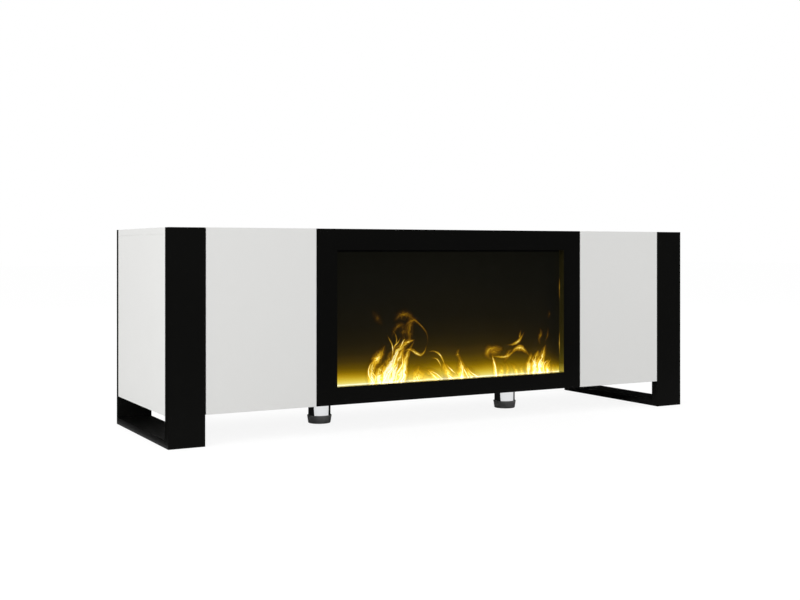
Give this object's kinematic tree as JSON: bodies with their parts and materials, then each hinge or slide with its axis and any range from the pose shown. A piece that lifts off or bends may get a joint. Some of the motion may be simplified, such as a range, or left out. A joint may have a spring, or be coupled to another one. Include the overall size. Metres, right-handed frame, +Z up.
{
  "type": "fireplace tv stand",
  "caption": "Low media stand with push-open cabinets on either side of an electric fire insert, on black board sleds and chrome middle legs.",
  "frame": {"origin": "on the floor, under the middle of the stand", "axes": "+X along the width to the viewer's right, -Y towards the viewer at the front, +Z up"},
  "size_m": [1.58, 0.45, 0.518],
  "materials": {
    "black_board": "matt black lacquered board",
    "white_board": "matt white lacquered board",
    "white_door": "satin white lacquered board",
    "back_board": "thin white-faced fibreboard",
    "nickel": "nickel-plated steel",
    "zinc_pin": "zinc-plated steel",
    "grey_plastic": "grey moulded plastic",
    "chrome": "polished chrome",
    "foot_plastic": "dark grey moulded plastic",
    "black_steel": "satin black powder coat",
    "fire_glass": "clear float glass",
    "flame_screen": "dark diffusing sheet, lit from behind",
    "zinc_sheet": "galvanised sheet",
    "circuit": "green circuit board",
    "mirror_sheet": "bright rolled sheet",
    "black_plastic": "black moulded plastic"
  },
  "bodies": {
    "root": {"top_panel": "white_board", "bottom_panel": "white_board", "left_side_panel": "white_board", "right_side_panel": "white_board", "left_partition": "white_board", "right_partition": "white_board", "left_back_panel": "back_board", "middle_back_panel": "back_board", "right_back_panel": "back_board", "left_front_post": "black_board", "left_back_post": "black_board", "left_floor_rail": "black_board", "right_front_post": "black_board", "right_back_post": "black_board", "right_floor_rail": "black_board", "left_shelf": "white_board", "left_shelf_pin_1": "zinc_pin", "left_shelf_pin_2": "zinc_pin", "left_shelf_pin_3": "zinc_pin", "left_shelf_pin_4": "zinc_pin", "right_shelf": "white_board", "right_shelf_pin_1": "zinc_pin", "right_shelf_pin_2": "zinc_pin", "right_shelf_pin_3": "zinc_pin", "right_shelf_pin_4": "zinc_pin", "left_lower_hinge_arm": "nickel", "left_upper_hinge_arm": "nickel", "right_lower_hinge_arm": "nickel", "right_upper_hinge_arm": "nickel", "left_latch_housing": "grey_plastic", "right_latch_housing": "grey_plastic", "left_leg_tube": "chrome", "left_leg_foot": "foot_plastic", "right_leg_tube": "chrome", "right_leg_foot": "foot_plastic", "bezel_frame": "black_steel", "front_glass": "fire_glass", "flame_screen": "flame_screen", "firebox_case": "zinc_sheet", "led_strip": "circuit", "spindle_bearing": "grey_plastic", "spindle_motor": "zinc_sheet", "control_board": "circuit", "rear_cover": "zinc_sheet", "mains_inlet": "black_plastic", "switch_housing": "black_plastic"},
    "left_hinge_links": {"left_lower_hinge_link": "nickel", "left_upper_hinge_link": "nickel"},
    "left_door": {"left_door": "white_door", "left_lower_hinge_cup": "nickel", "left_upper_hinge_cup": "nickel"},
    "right_hinge_links": {"right_lower_hinge_link": "nickel", "right_upper_hinge_link": "nickel"},
    "right_door": {"right_door": "white_door", "right_lower_hinge_cup": "nickel", "right_upper_hinge_cup": "nickel"},
    "left_latch_plunger": {"left_latch_plunger": "grey_plastic"},
    "right_latch_plunger": {"right_latch_plunger": "grey_plastic"},
    "flame_spindle": {"flame_spindle": "mirror_sheet"},
    "power_rocker": {"power_rocker": "black_plastic"}
  },
  "joints": [
    {"name": "left_hinge_link_swing", "type": "hinge", "parent": "root", "child": "left_hinge_links", "pos_m": [-0.644, -0.183, 0.2965], "axis": [0, 0, -1], "range_deg": [-23, 0]},
    {"name": "left_door_swing", "type": "hinge", "parent": "left_hinge_links", "child": "left_door", "pos_m": [-0.682, -0.211, 0.2965], "axis": [0, 0, -1], "range_deg": [0, 115]},
    {"name": "right_hinge_link_swing", "type": "hinge", "parent": "root", "child": "right_hinge_links", "pos_m": [0.644, -0.183, 0.2965], "axis": [0, 0, 1], "range_deg": [-23, 0]},
    {"name": "right_door_swing", "type": "hinge", "parent": "right_hinge_links", "child": "right_door", "pos_m": [0.682, -0.211, 0.2965], "axis": [0, 0, 1], "range_deg": [0, 115]},
    {"name": "left_latch_push", "type": "slide", "parent": "root", "child": "left_latch_plunger", "axis": [0, 1, 0], "range_m": [0, 0.003], "stiffness_N_per_m": 400},
    {"name": "right_latch_push", "type": "slide", "parent": "root", "child": "right_latch_plunger", "axis": [0, 1, 0], "range_m": [0, 0.003], "stiffness_N_per_m": 400},
    {"name": "flame_spindle_turn", "type": "hinge", "parent": "root", "child": "flame_spindle", "pos_m": [0, -0.15, 0.1505], "axis": [1, 0, 0], "continuous": true},
    {"name": "power_rocker_tilt", "type": "hinge", "parent": "root", "child": "power_rocker", "pos_m": [0.06, -0.0185, 0.2505], "axis": [-1, 0, 0], "range_deg": [0, 16]}
  ],
  "couplings": [
    {"joint": "left_hinge_link_swing", "follows": "left_door_swing", "ratio": -0.2},
    {"joint": "right_hinge_link_swing", "follows": "right_door_swing", "ratio": -0.2}
  ]
}
